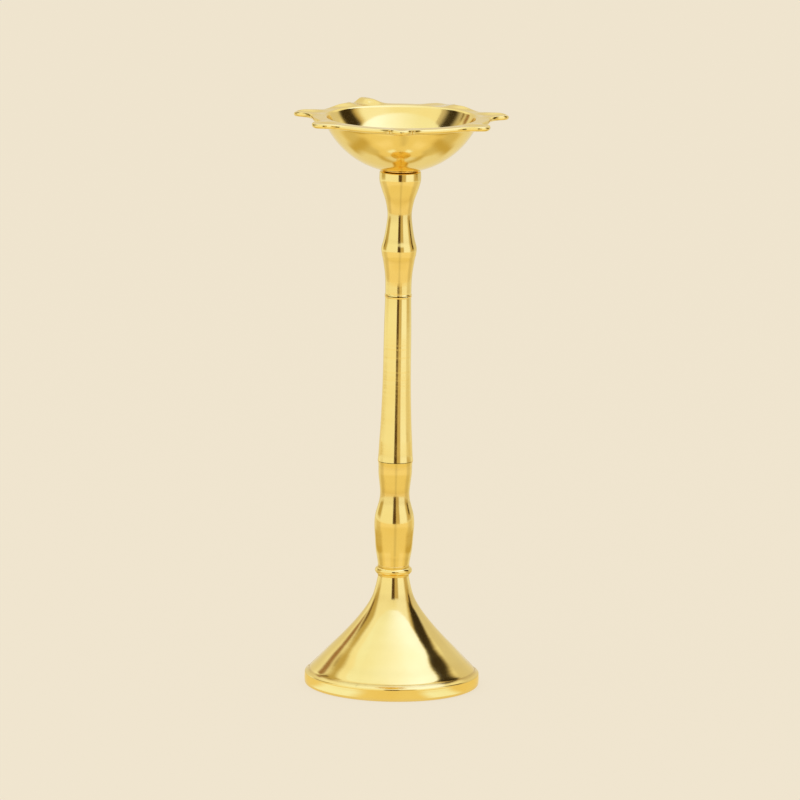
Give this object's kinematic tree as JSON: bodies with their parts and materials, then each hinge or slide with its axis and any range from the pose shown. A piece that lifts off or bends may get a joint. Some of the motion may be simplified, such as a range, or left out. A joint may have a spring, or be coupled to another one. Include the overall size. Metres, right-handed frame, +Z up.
{
  "type": "standing oil lamp",
  "caption": "Brass diya: round oil bowl with wick spouts on a slim turned stem that unscrews in sections, standing on a hollow bell-shaped foot.",
  "frame": {"origin": "on the stem's upright axis, in the plane of the table under the foot's rim", "axes": "+Z up along the stem, towards the bowl; the viewer of the picture looks along about +Y, and the spout nearest the viewer points a few degrees to the +X side of -Y"},
  "size_m": [0.1125, 0.1125, 0.3074],
  "materials": {
    "cast_brass": "cast, polished bright yellow brass",
    "turned_brass": "turned and polished bright yellow brass with fine lathe lines",
    "plain_brass": "unpolished brass, duller where hidden",
    "fastener_steel": "plain zinc-plated steel"
  },
  "bodies": {
    "base": {"foot": "turned_brass", "foot_washer": "plain_brass", "foot_nut": "fastener_steel", "foot_tie_stud": "fastener_steel", "collar_ring": "turned_brass", "stem_lower": "turned_brass"},
    "lower_seam_stud": {"stud_lower_seam": "plain_brass"},
    "middle_section": {"stem_middle": "turned_brass"},
    "upper_seam_stud": {"stud_upper_seam": "plain_brass"},
    "upper_section": {"stem_upper": "turned_brass"},
    "bowl_stud": {"bowl_stud": "plain_brass"},
    "bowl": {"bowl": "cast_brass", "bowl_disc": "turned_brass"}
  },
  "joints": [
    {"name": "lower_seam_rise", "type": "slide", "parent": "base", "child": "lower_seam_stud", "axis": [0, 0, 1], "range_m": [0, 0.01]},
    {"name": "lower_seam_unscrew", "type": "hinge", "parent": "lower_seam_stud", "child": "middle_section", "pos_m": [0, 0, 0.121], "axis": [0, 0, 1], "range_deg": [0, 2881]},
    {"name": "upper_seam_rise", "type": "slide", "parent": "middle_section", "child": "upper_seam_stud", "axis": [0, 0, 1], "range_m": [0, 0.01]},
    {"name": "upper_seam_unscrew", "type": "hinge", "parent": "upper_seam_stud", "child": "upper_section", "pos_m": [0, 0, 0.2097], "axis": [0, 0, 1], "range_deg": [0, 2881]},
    {"name": "bowl_rise", "type": "slide", "parent": "upper_section", "child": "bowl_stud", "axis": [0, 0, 1], "range_m": [0, 0.01]},
    {"name": "bowl_unscrew", "type": "hinge", "parent": "bowl_stud", "child": "bowl", "pos_m": [0, 0, 0.2763], "axis": [0, 0, 1], "range_deg": [0, 2881]}
  ],
  "couplings": [
    {"joint": "lower_seam_unscrew", "follows": "lower_seam_rise", "rad_per_m": 5026.5},
    {"joint": "upper_seam_unscrew", "follows": "upper_seam_rise", "rad_per_m": 5026.5},
    {"joint": "bowl_unscrew", "follows": "bowl_rise", "rad_per_m": 5026.5}
  ]
}
